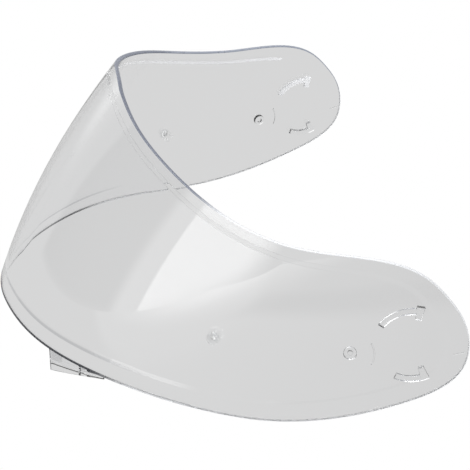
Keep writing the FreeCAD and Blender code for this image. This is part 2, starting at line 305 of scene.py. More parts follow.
@dataclass
class Sheet:
    """Double-curved sheet of the shield: a plan of three arcs, bowed upright and leaning back.

    An arc is a radius and the angle that it turns through.
    """

    nose_arc: Pair = (67.0 * MM, math.radians(15.2))
    shoulder_arc: Pair = (128.0 * MM, math.radians(53.6))
    arm_arc: Pair = (298.0 * MM, math.inf)
    bow_height: float = 48.0 * MM
    front_bow_radius: float = 320.0 * MM
    arm_bow_radius: float = 960.0 * MM
    flare_share: float = 0.10
    stance: float = math.radians(28.0)
    back_shift: float = -100.14 * MM
    up_shift: float = 13.387 * MM
    outline_points: tuple[Pair, ...] = (
        (0.0, 0.0), (48.0, 3.2), (96.0, 15.8), (139.0, 30.0), (162.5, 39.3), (213.0, 79.0),
        (226.0, 105.0), (216.0, 124.0), (205.0, 130.6), (193.0, 134.6), (144.0, 120.1),
        (110.5, 113.4), (77.0, 113.6), (43.0, 115.9), (0.0, 120.1),
    )
    outline_samples: int = 1600

    def plan_point(self, run: float) -> Triple:
        """Point and heading of the plan curve at a distance from the middle.

        Args:
            run: distance along the sheet, not negative.

        Returns:
            X, Y and heading.
        """
        x = y = heading = 0.0
        for radius, turn in (self.nose_arc, self.shoulder_arc, self.arm_arc):
            start, heading = heading, heading + min(run / radius, turn)
            x += radius * (math.sin(heading) - math.sin(start))
            y += radius * (math.cos(start) - math.cos(heading))
            run = max(run - radius * turn, 0.0)
        return x, y, heading

    def skin(self, run: float, height: float) -> Vector:
        """Point of the outer skin on the sheet's own axis, for a run on the left side.

        Args:
            run: distance along the sheet from the middle.
            height: distance up the sheet from the foot of the middle.

        Returns:
            The point.
        """
        x, y, heading = self.plan_point(abs(run))
        front = math.cos(heading) ** 2
        bow = front / self.front_bow_radius + (1 - front) / self.arm_bow_radius
        flare = self.flare_share * (1 - front) * height
        inward = bow * (height - self.bow_height) ** 2 / 2 - flare
        x = math.copysign(1, run) * (x - math.sin(heading) * inward)
        return Vector((x, y + math.cos(heading) * inward, height))

    def directions(self, run: float, height: float) -> tuple[Vector, Vector]:
        """Rearward and outward directions at a run and height, on the sheet's own axis."""
        along = self.skin(run + NUDGE, height) - self.skin(run - NUDGE, height)
        upward = self.skin(run, height + NUDGE) - self.skin(run, height - NUDGE)
        return along.normalized(), along.cross(upward).normalized()

    def stand(self) -> Matrix:
        """Transform from the sheet's own axis to the standing pose."""
        lean = Matrix.Rotation(-self.stance, 4, "X")
        return Matrix.Translation((0, self.back_shift, self.up_shift)) @ lean

    def point(self, run: float, height: float, depth: float) -> Vector:
        """Standing point at a run and height, and a depth below the outer skin."""
        _, outward = self.directions(run, height)
        return self.stand() @ (self.skin(run, height) - outward * depth)

    def seat(self, bm: Mesh, place: Pair, side: Side) -> None:
        """Move a mesh to a seat on the sheet, its X rearwards, its Y upwards and its Z outwards.

        Args:
            bm: mesh drawn on the seat's own axes.
            place: run and height of the seat on the left side.
            side: side that it goes to.
        """
        rearward, outward = self.directions(*place)
        turn = Matrix((rearward, outward.cross(rearward), outward)).transposed().to_4x4()
        matrix = self.stand() @ Matrix.Translation(self.skin(*place)) @ turn
        bmesh.ops.transform(bm, matrix=matrix, verts=bm.verts)
        if side is Side.RIGHT:
            bmesh.ops.scale(bm, vec=(-1, 1, 1), verts=bm.verts)

    @cached_property
    def outline(self) -> tuple[np.ndarray, np.ndarray]:
        """Half outline on the unrolled sheet, from the foot round the tip to the head.

        Returns:
            Points and unit inward normals, one row each.
        """
        knots = np.array(self.outline_points) * MM
        gaps = np.hypot(*np.diff(knots, axis=0).T)
        places = np.concatenate(([0.0], np.cumsum(gaps)))
        slopes = self.knot_slopes(knots, gaps)
        spots = np.linspace(0, places[-1], self.outline_samples)
        index = np.searchsorted(places[1:-1], spots, side="right")
        gap = gaps[index][:, None]
        t = ((spots - places[index])[:, None]) / gap
        points = (
            (2 * t**3 - 3 * t**2 + 1) * knots[index]
            + (t**3 - 2 * t**2 + t) * (slopes[index] * gap)
            + (3 * t**2 - 2 * t**3) * knots[index + 1]
            + (t**3 - t**2) * (slopes[index + 1] * gap)
        )
        tangents = np.gradient(points, axis=0)
        tangents /= np.hypot(*tangents.T)[:, None]
        return points, np.stack((-tangents[:, 1], tangents[:, 0]), axis=1)

    def knot_slopes(self, knots: np.ndarray, gaps: np.ndarray) -> np.ndarray:
        """Slopes of the smoothest curve through the outline's knots, level at its two ends.

        Args:
            knots: the outline's knots, one row each.
            gaps: straight distance from each knot to the next.

        Returns:
            Slope at each knot, one row each.
        """
        system = np.zeros((len(knots), len(knots)))
        right = np.zeros((len(knots), 2))
        system[0, 0] = system[-1, -1] = 1
        right[0], right[-1] = (1, 0), (-1, 0)
        steps = np.diff(knots, axis=0) / gaps[:, None]
        for i in range(1, len(knots) - 1):
            before, after = gaps[i - 1], gaps[i]
            system[i, i - 1:i + 2] = (after, 2 * (before + after), before)
            right[i] = 3 * (after * steps[i - 1] + before * steps[i])
        return np.linalg.solve(system, right)

    @cached_property
    def tip_index(self) -> int:
        """Number of the outline's point that lies farthest along the arm."""
        return int(np.argmax(self.outline[0][:, 0]))


# Finishes


@dataclass(frozen=True)
class Nodes:
    """Shader nodes of one material or world, with short ways to add and join them."""

    tree: bpy.types.NodeTree

    def add(self, kind: str, inputs: dict[str | int, Any] | None = None,
            **settings: Any) -> bpy.types.Node:
        """Add a node.

        Args:
            kind: its type, without the words that all types start with.
            inputs: what is set or linked to each input, by its name or number.
            settings: its own settings.

        Returns:
            The node.
        """
        node = self.tree.nodes.new("ShaderNode" + kind)
        for name, value in settings.items():
            setattr(node, name, value)
        self.feed(node, inputs or {})
        return node

    def feed(self, node: bpy.types.Node, inputs: dict[str | int, Any]) -> None:
        """Set a node's inputs to values, or link them to outputs.

        Args:
            node: the node.
            inputs: a value or an output for each input, by its name or number.
        """
        for key, value in inputs.items():
            if isinstance(value, Socket):
                self.tree.links.new(value, node.inputs[key])
            else:
                node.inputs[key].default_value = value

    def math(self, operation: str, *values: Socket | float) -> Socket:
        """Result of a calculation with one or two values."""
        return self.add("Math", dict(enumerate(values)), operation=operation).outputs[0]

    def measure(self, operation: str, place: Socket, other: Triple) -> Socket:
        """Number that a calculation with a place and a fixed vector gives."""
        return self.add("VectorMath", {0: place, 1: other}, operation=operation).outputs["Value"]

    def noise(self, place: Socket, scale: float, detail: float) -> Socket:
        """Cloudy pattern from 0 to 1 over a place."""
        inputs = {"Vector": place, "Scale": scale, "Detail": detail}
        return self.add("TexNoise", inputs).outputs["Fac"]

    def spread(self, value: Socket, ends: Pair, to: Pair = (0.0, 1.0),
               smooth: bool = True) -> Socket:
        """Map a value's range to another.

        Args:
            value: the value.
            ends: the two ends of its range.
            to: results at the ends and past them.
            smooth: whether the change starts and stops softly.

        Returns:
            The mapped value.
        """
        names = ("Value", "From Min", "From Max", "To Min", "To Max")
        kind = "SMOOTHSTEP" if smooth else "LINEAR"
        node = self.add("MapRange", dict(zip(names, (value, *ends, *to))), interpolation_type=kind)
        return node.outputs["Result"]

    def blend(self, base: Socket | Triple, top: Socket | Triple, mask: Socket) -> Socket:
        """Lay a colour over another by a mask.

        Args:
            base: colour below.
            top: colour laid over it.
            mask: how much of it shows.

        Returns:
            The blended colour.
        """
        inputs = {"Factor": mask}
        for name, colour in (("A", base), ("B", top)):
            inputs[name] = colour if isinstance(colour, Socket) else (*colour, 1)
        return self.add("Mix", inputs, data_type="RGBA").outputs["Result"]

    def ramp(self, value: Socket, stops: tuple[tuple[float, Triple], ...]) -> Socket:
        """Colour that changes along a value.

        Args:
            value: the value.
            stops: pairs of a place from 0 to 1 and a colour, in order.

        Returns:
            The colour.
        """
        node = self.add("ValToRGB", {"Fac": value})
        points = node.color_ramp.elements
        for place, _ in stops[1:-1]:
            points.new(place)
        points[0].position, points[-1].position = stops[0][0], stops[-1][0]
        for point, (_, colour) in zip(points, stops):
            point.color = (*colour, 1)
        return node.outputs["Color"]

    def bump(self, pattern: Socket, strength: float, depth: float) -> Socket:
        """Normal of a surface with a pattern raised on it."""
        inputs = {"Height": pattern, "Strength": strength, "Distance": depth}
        return self.add("Bump", inputs).outputs["Normal"]

    def seen_through(self) -> Socket:
        """Mask of the light that comes straight through the plastic, not mirrored on its way."""
        path = self.add("LightPath").outputs
        unmirrored = self.math("LESS_THAN", path["Glossy Depth"], 0.5)
        return self.math("MULTIPLY", path["Is Transmission Ray"], unmirrored)


def new_material(name: str, clarity: float,
                 ior: float) -> tuple[bpy.types.Material, Nodes, bpy.types.Node]:
    """Start the material of a finish.

    Args:
        name: its name.
        clarity: share of the light that goes through it.
        ior: its refractive index.

    Returns:
        The material, its nodes and its shader.
    """
    mat = bpy.data.materials.new(name)
    mat.use_nodes = True
    nodes = Nodes(mat.node_tree)
    shader = mat.node_tree.nodes["Principled BSDF"]
    nodes.feed(shader, {"Transmission Weight": clarity, "IOR": ior})
    return mat, nodes, shader


@dataclass(frozen=True)
class ClearPlastic:
    """Clear moulded plastic with a faint tint, flow lines, handling marks and an optional painted
    shade along the rim step.
    """

    name: str
    tint: Triple
    ior: float
    roughness: float
    marks: float
    flow_scale: float
    bump: float
    clarity: float = 1.0
    gloss: float = 0.0
    gloss_ior: float = 1.585
    cover: float = 1.0
    # Colour of the painted shade along the rim step, blended in by the vertex attribute.
    step_shade_tint: Triple | None = None
    flow_stretch: Triple = (1.0, 1.0, 0.35)
    flow_detail: float = 3.0
    flow_depth: float = 0.1 * MM
    flow_places: Pair = (0.3, 0.7)
    flow_dimming: float = 0.995
    marks_fineness: float = 14.0
    marks_detail: float = 6.0
    marks_range: Pair = (0.45, 0.75)

    def material(self) -> bpy.types.Material:
        """Build the node material.

        Returns:
            The material.
        """
        mat, nodes, shader = new_material(self.name, self.clarity, self.ior)
        place = nodes.add("TexCoord").outputs["Object"]
        stretched = nodes.add("Mapping", {"Vector": place, "Scale": self.flow_stretch}).outputs
        flow = nodes.noise(stretched["Vector"], self.flow_scale, self.flow_detail)
        marks = nodes.noise(place, self.flow_scale * self.marks_fineness, self.marks_detail)
        dim = tuple(value * self.flow_dimming for value in self.tint)
        colour = nodes.ramp(flow, tuple(zip(self.flow_places, (dim, self.tint))))
        # Painted shade: darkens the colour along the rim step, as a line where the step shows dark.
        if self.step_shade_tint:
            line = nodes.add("Attribute", attribute_name=STEP_SHADE_ATTRIBUTE).outputs["Fac"]
            colour = nodes.blend(colour, self.step_shade_tint, line)
        worn = (self.roughness, self.roughness + self.marks)
        nodes.feed(shader, {
            "Coat Weight": self.gloss,
            "Coat IOR": self.gloss_ior,
            "Alpha": self.cover,
            "Base Color": colour,
            "Roughness": nodes.spread(marks, self.marks_range, worn, smooth=False),
            "Normal": nodes.bump(flow, self.bump, self.flow_depth),
        })
        return mat


@dataclass(frozen=True)
class PaintedEdgeShade:
    """Painted shade and light on the sheet's cut edge: painted dark round the front, pale along the
    arms, and darker at the head of the right arm.
    """

    name: str
    foot_painted_shade: Triple
    head_painted_shade: Triple
    arm_painted_light: Triple
    right_painted_shade: Triple
    ior: float
    clarity: float
    roughness: float
    marks: float
    front_end: Pair
    lean: float
    head_levels: Pair = (35.0 * MM, 60.0 * MM)
    shaded_side_start: Pair = (10.0 * MM, -10.0 * MM)
    marks_scale: float = 420.0
    marks_detail: float = 4.0
    marks_range: Pair = (0.35, 0.7)
    marks_bump: float = 0.08
    marks_depth: float = 0.05 * MM

    def material(self) -> bpy.types.Material:
        """Build the node material.

        Returns:
            The material.
        """
        mat, nodes, shader = new_material(self.name, self.clarity, self.ior)
        place = nodes.add("TexCoord").outputs["Object"]
        parts = nodes.add("SeparateXYZ", {0: place}).outputs
        level_back = (0.0, math.cos(self.lean), -math.sin(self.lean))
        back = nodes.measure("DOT_PRODUCT", place, level_back)
        head = nodes.spread(parts["Z"], self.head_levels)
        right = nodes.spread(parts["X"], self.shaded_side_start, smooth=False)
        # Painted shade and light: the edge colour goes from dark at the front foot to blue-grey at
        # the head, pale along the arms and darker at the right arm's head.
        front = nodes.blend(self.foot_painted_shade, self.head_painted_shade, head)
        arms = nodes.blend(self.arm_painted_light, self.right_painted_shade, nodes.math("MULTIPLY", right, head))
        marks = nodes.noise(place, self.marks_scale, self.marks_detail)
        worn = (self.roughness, self.roughness + self.marks)
        nodes.feed(shader, {
            "Base Color": nodes.blend(front, arms, nodes.spread(back, self.front_end)),
            "Roughness": nodes.spread(marks, self.marks_range, worn, smooth=False),
            "Normal": nodes.bump(marks, self.marks_bump, self.marks_depth),
        })
        return mat


# The shell's colour includes a painted shade line along the rim step.
SHELL_PLASTIC = ClearPlastic(
    "clear_polycarbonate", tint=(0.99, 0.992, 0.995), ior=1.585, roughness=0.0, marks=0.01,
    flow_scale=9.0, bump=0.02, step_shade_tint=(0.55, 0.56, 0.58),
)
STEP_PLASTIC = ClearPlastic(
    "head_step", tint=(0.99, 0.992, 0.995), ior=1.585, roughness=0.05, marks=0.05,
    flow_scale=9.0, bump=0.02, clarity=0.75,
)
# The edge colours are painted shade and light, not the plastic's own tint.
EDGE_PAINTED_SHADE = PaintedEdgeShade(
    "edge_painted_shade", foot_painted_shade=(0.03, 0.033, 0.045), head_painted_shade=(0.16, 0.18, 0.24),
    arm_painted_light=(0.97, 0.975, 0.985), right_painted_shade=(0.30, 0.33, 0.40), ior=1.585, clarity=0.35,
    roughness=0.25, marks=0.15, front_end=(-55.0 * MM, -39.0 * MM), lean=math.radians(28.0),
)
FEATURE_PLASTIC = ClearPlastic(
    "moulded_features", tint=(0.97, 0.975, 0.98), ior=1.585, roughness=0.12, marks=0.06,
    flow_scale=120.0, bump=0.04,
)
# Painted highlight: a near-opaque white finish put only on right-side features, standing for their
# bright highlights.
PAINTED_HIGHLIGHT_PLASTIC = ClearPlastic(
    "painted_highlight_white", tint=(0.99, 0.99, 0.992), ior=1.45, roughness=0.25, marks=0.10,
    flow_scale=120.0, bump=0.05, clarity=0.05,
)
HOLE_PLASTIC = ClearPlastic(
    "drilled_hole", tint=(0.98, 0.982, 0.985), ior=1.04, roughness=0.02, marks=0.03,
    flow_scale=120.0, bump=0.04,
)
PIN_PLASTIC = ClearPlastic(
    "clear_pin_nylon", tint=(0.97, 0.975, 0.975), ior=1.12, roughness=0.02, marks=0.06,
    flow_scale=160.0, bump=0.06, gloss=1.0, cover=0.45,
)
SCREW_PLASTIC = ClearPlastic(
    "clear_screw_nylon", tint=(0.97, 0.975, 0.98), ior=1.12, roughness=0.03, marks=0.08,
    flow_scale=220.0, bump=0.06, gloss=1.0, cover=0.45,
)
WASHER_PLASTIC = ClearPlastic(
    "clear_silicone", tint=(0.96, 0.965, 0.965), ior=1.04, roughness=0.15, marks=0.15,
    flow_scale=300.0, bump=0.10,
)
SHIELD_FINISHES = {
    Zone.WALL: SHELL_PLASTIC,
    Zone.EDGE: EDGE_PAINTED_SHADE,
    Zone.FEATURE: FEATURE_PLASTIC,
    Zone.STEP: STEP_PLASTIC,
    Zone.HOLE: HOLE_PLASTIC,
    Zone.PAINTED_HIGHLIGHT: PAINTED_HIGHLIGHT_PLASTIC,
}


def dress(piece: Piece, body: str, slot: str, *nodes: str) -> None:
    """Tie a finished piece to the frame and report it.

    Args:
        piece: the finished piece.
        body: the CAD body that it rides on.
        slot: not used.
        nodes: CAD nodes that it stands for.
    """
    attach(piece, body)
    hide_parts(*nodes)
    triangles = sum(len(face.vertices) - 2 for face in piece.data.polygons)
    log.info("%s: %d triangles", piece.name, triangles)


# Shield


@dataclass(frozen=True)
class PaintedStepShade:
    """Painted shade along the rim step: a dark line painted into the plastic's colour where the
    step shows dark, fading towards the arms.
    """

    places: tuple[float, ...]
    half_width: float
    sharpness: float
    strength: float
    fade_start: float
    fade_length: float

    def at(self, run: float, share: float) -> float:
        """Strength of the painted shade.

        Args:
            run: distance along the sheet from the middle.
            share: share of the step's width.

        Returns:
            The strength, from 0 to 1.
        """
        fade = share_of(1 - (run - self.fade_start) / self.fade_length)
        width = max(1 - abs(share - place) / self.half_width for place in self.places)
        return self.strength * fade * share_of(self.sharpness * width)


# Painted shade lines: one dark line at the foot step, two fainter ones at the head step.
FOOT_STEP_SHADE = PaintedStepShade((0.25,), 0.45, 1.6, 1.0, 92.0 * MM, 30.0 * MM)
HEAD_STEP_SHADE = PaintedStepShade((0.08, 0.92), 0.12, 1.0, 0.45, 120.0 * MM, 40.0 * MM)


@dataclass
class Shield:
    """Moulded shield: sheet with stepped rim, arm features, pin holes and lift tab."""

    sheet: Sheet
    wall: float = 2.3 * MM
    rim_wall: float = 2.0 * MM
    rim_width: float = 7.6 * MM
    rim_narrows: Pair = (0.58, 0.74)
    rim_head_share: float = 0.62
    rim_slope: float = 2.4 * MM
    slope_steps: tuple[float, ...] = (
        0.0, 0.04, 0.08, 0.12, 0.2, 0.35, 0.5, 0.65, 0.8, 0.88, 0.92, 0.96, 1.0,
    )
    slope_corner: float = 0.15
    border_rows: int = 4
    nose_rise: float = 0.12
    full_rise_runs: Pair = (50.0 * MM, 150.0 * MM)
    highlight_step_start: float = -60.0 * MM
    highlight_tip_share: float = 0.6
    edge_round: float = 0.45 * MM
    edge_inset: float = 0.03 * MM
    support: float = 0.28 * MM
    spine_reach: float = 186.0 * MM
    run_steps: int = 84
    tip_steps: int = 44
    field_steps: int = 26
    band_steps: int = 4
    round_steps: int = 4
    hinge_place: Pair = (202.5 * MM, 104.3 * MM)
    boss_place: Pair = (182.3 * MM, 88.5 * MM)
    pin_place: Pair = (130.7 * MM, 65.1 * MM)
    pin_hole_radius: float = 1.6 * MM
    pin_seat_radius: float = 3.9 * MM
    pin_seat_depth: float = 0.05 * MM
    hook_radius: float = 17.3 * MM
    hook_width: float = 2.6 * MM
    hook_height: float = 2.0 * MM
    hook_round: float = 0.8 * MM
    upper_hook: Pair = (108.0, 174.0)
    upper_block: Pair = (103.0, 114.0)
    lower_hook: Pair = (-86.0, -35.0)
    lower_block: Pair = (-47.0, -35.1)
    block_reach: float = 6.0 * MM
    upper_block_stand: float = 0.9 * MM
    lower_block_stand: float = 0.1 * MM
    block_rise: float = 0.05 * MM
    boss_radius: float = 2.8 * MM
    boss_height: float = 1.8 * MM
    boss_dimple: float = 1.3 * MM
    boss_dimple_depth: float = 1.0 * MM
    boss_dimple_floor: Pair = (0.8, 0.9)
    boss_round: float = 0.4 * MM
    boss_round_steps: int = 4
    stop_rib_radius: float = 9.8 * MM
    stop_rib_width: float = 0.6 * MM
    stop_rib_height: float = 0.5 * MM
    stop_rib_round: float = 0.15 * MM
    stop_rib: Pair = (1.0, 58.0)
    gate_place: Pair = (221.0 * MM, 110.3 * MM)
    gate_angle: float = math.radians(41.0)
    gate_length: float = 5.0 * MM
    gate_width: float = 0.4 * MM
    gate_height: float = 0.2 * MM
    tab_front: float = 63.5 * MM
    tab_back: float = 97.0 * MM
    tab_reach: float = 6.4 * MM
    tab_back_reach: float = 0.8 * MM
    tab_back_drop: float = 0.9 * MM
    tab_root: float = 0.8 * MM
    tab_wall: float = 1.1 * MM
    tab_rise: float = 0.8 * MM
    tab_shelf_drop: float = 1.6 * MM
    tab_foot: float = 0.02 * MM
    tab_pockets: Pair = (0.58, 0.72)
    tab_stations: int = 17
    tab_round: float = 0.25 * MM
    tab_corner_turn: float = 0.6
    finishes: tuple[bpy.types.Material, ...] = ()

    def band_share(self, place_share: float) -> float:
        """Share of its full width that the rim band has at a share of the half outline."""
        start, finish = self.rim_narrows
        return 1 + (self.rim_head_share - 1) * share_of((place_share - start) / (finish - start))

    @cached_property
    def columns(self) -> list[tuple[np.ndarray, np.ndarray, np.ndarray, float]]:
        """Outline point, inward normal, spine point and band share of each column.

        Returns:
            One row per column of the left half, from the foot round the tip to the head.
        """
        outline = np.hstack(self.sheet.outline)
        far, reaches = self.sheet.tip_index, outline[:, 0]
        index = np.arange(len(outline))
        runs = np.linspace(0, self.spine_reach, self.run_steps + 1)
        foot_at = np.interp(runs, reaches[:far], index[:far])
        head_at = np.interp(runs, reaches[far:][::-1], index[far:][::-1])
        tip_at = np.linspace(foot_at[-1], head_at[-1], self.tip_steps + 1)[1:-1]

        def pick(at: float) -> tuple[np.ndarray, np.ndarray]:
            """Outline point and inward normal at a fractional index."""
            *point, across, up = (np.interp(at, index, part) for part in outline.T)
            return np.array(point), np.array((across, up)) / np.hypot(across, up)

        levels = outline[:, 1]
        middles = (np.interp(foot_at, index, levels) + np.interp(head_at, index, levels)) / 2
        spines = [np.array(spine) for spine in zip(runs, middles)]
        along = (*foot_at, *tip_at, *head_at[::-1])
        inside = spines + spines[-1:] * len(tip_at) + spines[::-1]
        return [
            (*pick(at), spine, self.band_share(at / index[-1])) for at, spine in zip(along, inside)
        ]

    @cached_property
    def slope(self) -> list[Pair]:
        """Profile of the sloped rim step with softened corners: shares of its width and height."""
        corner = self.slope_corner
        shares = []
        for step in self.slope_steps:
            near = min(step, 1 - step)
            if near < corner:
                rise = near**2 / (2 * corner * (1 - corner))
            else:
                rise = (near - corner / 2) / (1 - corner)
            shares.append((step, rise if step <= 0.5 else 1 - rise))
        return shares

    @cached_property
    def section(self) -> list[Triple]:
        """Rows of the mesh across the wall: inset from the outline, share towards the spine, depth.

        Returns:
            Rows from the spine over the outer skin, round the edge and back over the inner skin.
        """
        edge, start, rim_wall = self.edge_round, self.edge_inset, self.rim_wall
        shown = start + edge + self.support
        inner = self.rim_width + self.rim_slope + self.support
        flat_end = self.rim_width - self.support
        rounding = quarter_round(self.round_steps)
        band = [step / self.band_steps for step in range(self.band_steps + 1)]
        field = [step / self.field_steps for step in range(self.field_steps + 1)]
        rows = [(inner, 1 - share, 0.0) for share in field[:-1]]
        rows += [(inner * (1 - share) + shown * share, 0.0, 0.0) for share in band]
        rows += [(start + edge * face, 0.0, edge * side) for side, face in rounding]
        rows += [(start + edge * side, 0.0, rim_wall - edge * face) for side, face in rounding]
        rows += [(shown * (1 - share) + flat_end * share, 0.0, rim_wall) for share in band]
        rows += [
            (self.rim_width + self.rim_slope * step, 0.0, rim_wall + (self.wall - rim_wall) * rise)
            for step, rise in self.slope
        ]
        rows += [(inner, share, self.wall) for share in field]
        return rows

    def narrowed(self, inset: float, band: float) -> float:
        """Inset of a row where the flat of the rim band has a share of its full width."""
        shown = self.edge_inset + self.edge_round + self.support
        flat = self.rim_width * band
        if inset <= shown:
            return inset
        if inset >= self.rim_width:
            return flat + inset - self.rim_width
        return shown + (inset - shown) * (flat - shown) / (self.rim_width - shown)

    def raised(self, depth: float, run: float) -> float:
        """Depth of an inner row at the head, where the step gets lower towards the nose."""
        start, finish = self.full_rise_runs
        blend = share_of((run - start) / (finish - start))
        share = self.nose_rise + (1 - self.nose_rise) * blend * blend * (3 - 2 * blend)
        if depth >= self.rim_wall:
            return self.wall - (self.wall - depth) * share
        return depth + (self.wall - self.rim_wall) * (1 - share)

    def spot(self, column: int, row: int) -> Vector:
        """Standing point of one vertex of the wall.

        Args:
            column: number of the column.
            row: number of the row.

        Returns:
            The point.
        """
        point, normal, spine, band = self.columns[column]
        inset, share, depth = self.section[row]
        if column > len(self.columns) // 2 and depth > self.rim_wall / 2:
            depth = self.raised(depth, float(point[0]))
        spot = (point + normal * self.narrowed(inset, band)) * (1 - share) + spine * share
        at_middle = column in (0, len(self.columns) - 1) or spot[0] <= 0.0
        where = self.sheet.point(0.0 if at_middle else float(spot[0]), float(spot[1]), depth)
        if at_middle:
            where.x = 0.0
        return where

    @property
    def slope_row(self) -> int:
        """Number of the row where the rim step starts."""
        return self.field_steps + 2 * self.band_steps + 2 * self.round_steps + 4

    def step_shade_strength(self, column: int, row: int) -> float:
        """Strength of the painted step shade at one vertex, from 0 to 1."""
        step = row - self.slope_row
        if not 0 <= step < len(self.slope):
            return 0.0
        line = FOOT_STEP_SHADE if column < len(self.columns) // 2 else HEAD_STEP_SHADE
        return line.at(float(self.columns[column][0][0]), self.slope[step][0])

    def zone(self, column: int, row: int) -> Zone:
        """Finish of one face of the wall.

        Args:
            column: number of the column before it.
            row: number of the row before it.

        Returns:
            The edge, with its painted shade; the step's middle near the tip, painted white as a
            highlight; the step's two borders at the head; or the wall.
        """
        past_tip = column - len(self.columns) // 2
        at_foot = past_tip < -self.tip_steps
        first_round = self.field_steps + self.band_steps + 1
        last_round = first_round + 2 * self.round_steps + 1
        if first_round - at_foot <= row < last_round + at_foot:
            return Zone.EDGE
        step, last_step = row - self.slope_row, len(self.slope) - 1
        if not 0 <= step < last_step:
            return Zone.WALL
        if self.border_rows <= step < last_step - self.border_rows:
            return Zone.PAINTED_HIGHLIGHT if past_tip > self.tip_steps * self.highlight_tip_share else Zone.WALL
        return Zone.STEP if past_tip > self.tip_steps else Zone.WALL

    def sheet_mesh(self) -> Mesh:
        """Closed wall of the shield with its stepped rim.

        Returns:
            The wall, both sides.
        """
        size = (len(self.columns), len(self.section))
        bm = mapped_grid(*size, self.spot, self.zone, self.step_shade_strength)
        bmesh.ops.mirror(bm, geom=bm.verts[:] + bm.edges[:] + bm.faces[:],
                         matrix=Matrix.Identity(4), merge_dist=WELD, axis="X")
        # Painted highlight: only the right side keeps the white step middle near the tip.
        for face in bm.faces:
            if face.material_index == Zone.PAINTED_HIGHLIGHT:
                centre = face.calc_center_median()
                if centre.x >= 0 or centre.y <= self.highlight_step_start:
                    face.material_index = Zone.WALL
        bmesh.ops.recalc_face_normals(bm, faces=bm.faces)
        return bm

    def placed(self, bm: Mesh, place: Pair, side: Side, name: str,
               zone: Zone = Zone.FEATURE) -> Piece:
        """Seat a feature on one arm.

        Args:
            bm: feature drawn on the seat's axes.
            place: seat on the left arm.
            side: arm that it goes to.
            name: object name.
            zone: finish of its faces.

        Returns:
            The feature as an object.
        """
        self.sheet.seat(bm, place, side)
        # Painted highlight: the right arm's upper hook and block get the near-opaque white finish.
        if side is Side.RIGHT and name.startswith("upper"):
            zone = Zone.PAINTED_HIGHLIGHT
        for face in bm.faces:
            face.material_index = zone
        return finished_object(bm, name, self.finishes)

    def hooks(self) -> Iterable[tuple[str, Mesh]]:
        """Hook ribs round the hinge with their end blocks.

        Yields:
            Name and mesh of each.
        """
        root = -(self.wall + self.rim_wall) / 2
        free = -(self.wall + self.hook_height)
        outer, inner = self.hook_radius, self.hook_radius - self.hook_width
        upper, lower = outer + self.upper_block_stand, outer + self.lower_block_stand
        ribs = (
            ("upper_hook", inner, outer, self.upper_hook, 0.0),
            ("upper_block", upper - self.block_reach, upper, self.upper_block, self.block_rise),
            ("lower_hook", inner, outer, self.lower_hook, 0.0),
            ("lower_block", outer - self.block_reach, lower, self.lower_block, self.block_rise),
        )
        for name, low, high, angles, rise in ribs:
            yield name, arc_rib(low, high, angles, root, free - rise, self.hook_round)

    def boss(self) -> Mesh:
        """Round locating boss with a dimple.

        Returns:
            The boss.
        """
        free = -(self.wall + self.boss_height)
        floor_radius, floor_depth = self.boss_dimple_floor
        return turned([
            (0, -self.rim_wall), (self.boss_radius, -self.rim_wall),
            *((self.boss_radius - self.boss_round * side, free + self.boss_round * face)
              for side, face in quarter_round(self.boss_round_steps)),
            (self.boss_dimple, free),
            (self.boss_dimple * floor_radius, free + self.boss_dimple_depth * floor_depth),
            (0, free + self.boss_dimple_depth),
        ])

    def arm_tools(self, side: Side) -> list[tuple[Piece, str]]:
        """Features moulded inside one arm, and its pin hole.

        Args:
            side: arm that they belong to.

        Returns:
            Pairs of an object and a boolean operation.
        """
        stop = arc_rib(
            self.stop_rib_radius, self.stop_rib_radius + self.stop_rib_width, self.stop_rib,
            -self.rim_wall, -(self.wall + self.stop_rib_height), self.stop_rib_round,
        )
        gate = block(
            (self.gate_length, self.gate_width, self.rim_wall),
            -(self.rim_wall / 2 + self.gate_height), self.gate_angle,
        )
        features = [(name, hook, self.hinge_place) for name, hook in self.hooks()]
        features += [
            ("boss", self.boss(), self.boss_place),
            ("stop_rib", stop, self.boss_place),
            ("gate_mark", gate, self.gate_place),
        ]
        tools = [(self.placed(bm, place, side, name), "UNION") for name, bm, place in features]
        seat, hole, depth = self.pin_seat_radius, self.pin_hole_radius, self.pin_seat_depth
        bore = turned([
            (0, self.wall), (seat, self.wall), (seat, -depth), (hole, -depth),
            (hole, -self.wall * 2), (0, -self.wall * 2),
        ])
        tools.append((self.placed(bore, self.pin_place, side, "pin_hole", Zone.HOLE), "DIFFERENCE"))
        return tools

    def tab_corner(self, share: float, corner: int, hollow: bool) -> Vector:
        """Corner of the lift tab's section at a share of its length.

        Args:
            share: place along the tab, 0 at its tall front end.
            corner: number of the corner, 0 to 3.
            hollow: whether the corner belongs to the hollow inside.

        Returns:
            The standing point.
        """
        foot = self.sheet.outline[0][:self.sheet.tip_index]
        run = self.tab_front + (self.tab_back - self.tab_front) * share
        height = float(np.interp(run, foot[:, 0], foot[:, 1]))
        edge = self.sheet.point(run, height, self.rim_wall / 2)
        reach = self.tab_reach * (1 - share) + self.tab_back_reach * share
        drop = (edge.z - self.tab_foot) * (1 - share) + self.tab_back_drop * share
        inset = self.tab_wall if hollow else 0.0
        root = edge + ACROSS * (inset - self.tab_root)
        rim = edge + ACROSS * (reach - inset)
        shelf = self.tab_shelf_drop * (1 - share) + inset
        low = UP * (drop + inset)
        top = root + UP * (self.tab_rise - inset)
        return (top, rim - UP * shelf, rim - low, root - low)[corner]

    def tab_solid(self, first: float, last: float, hollow: bool, name: str) -> Piece:
        """Length of the lift tab or of the hollow inside it.

        Args:
            first: share of the length where it starts.
            last: share of the length where it ends.
            hollow: whether it is the hollow.
            name: object name.

        Returns:
            The closed solid.
        """

        def place(column: int, row: int) -> Vector:
            """Standing point of one vertex."""
            share = first + (last - first) * column / (self.tab_stations - 1)
            return self.tab_corner(share, row % 4, hollow)

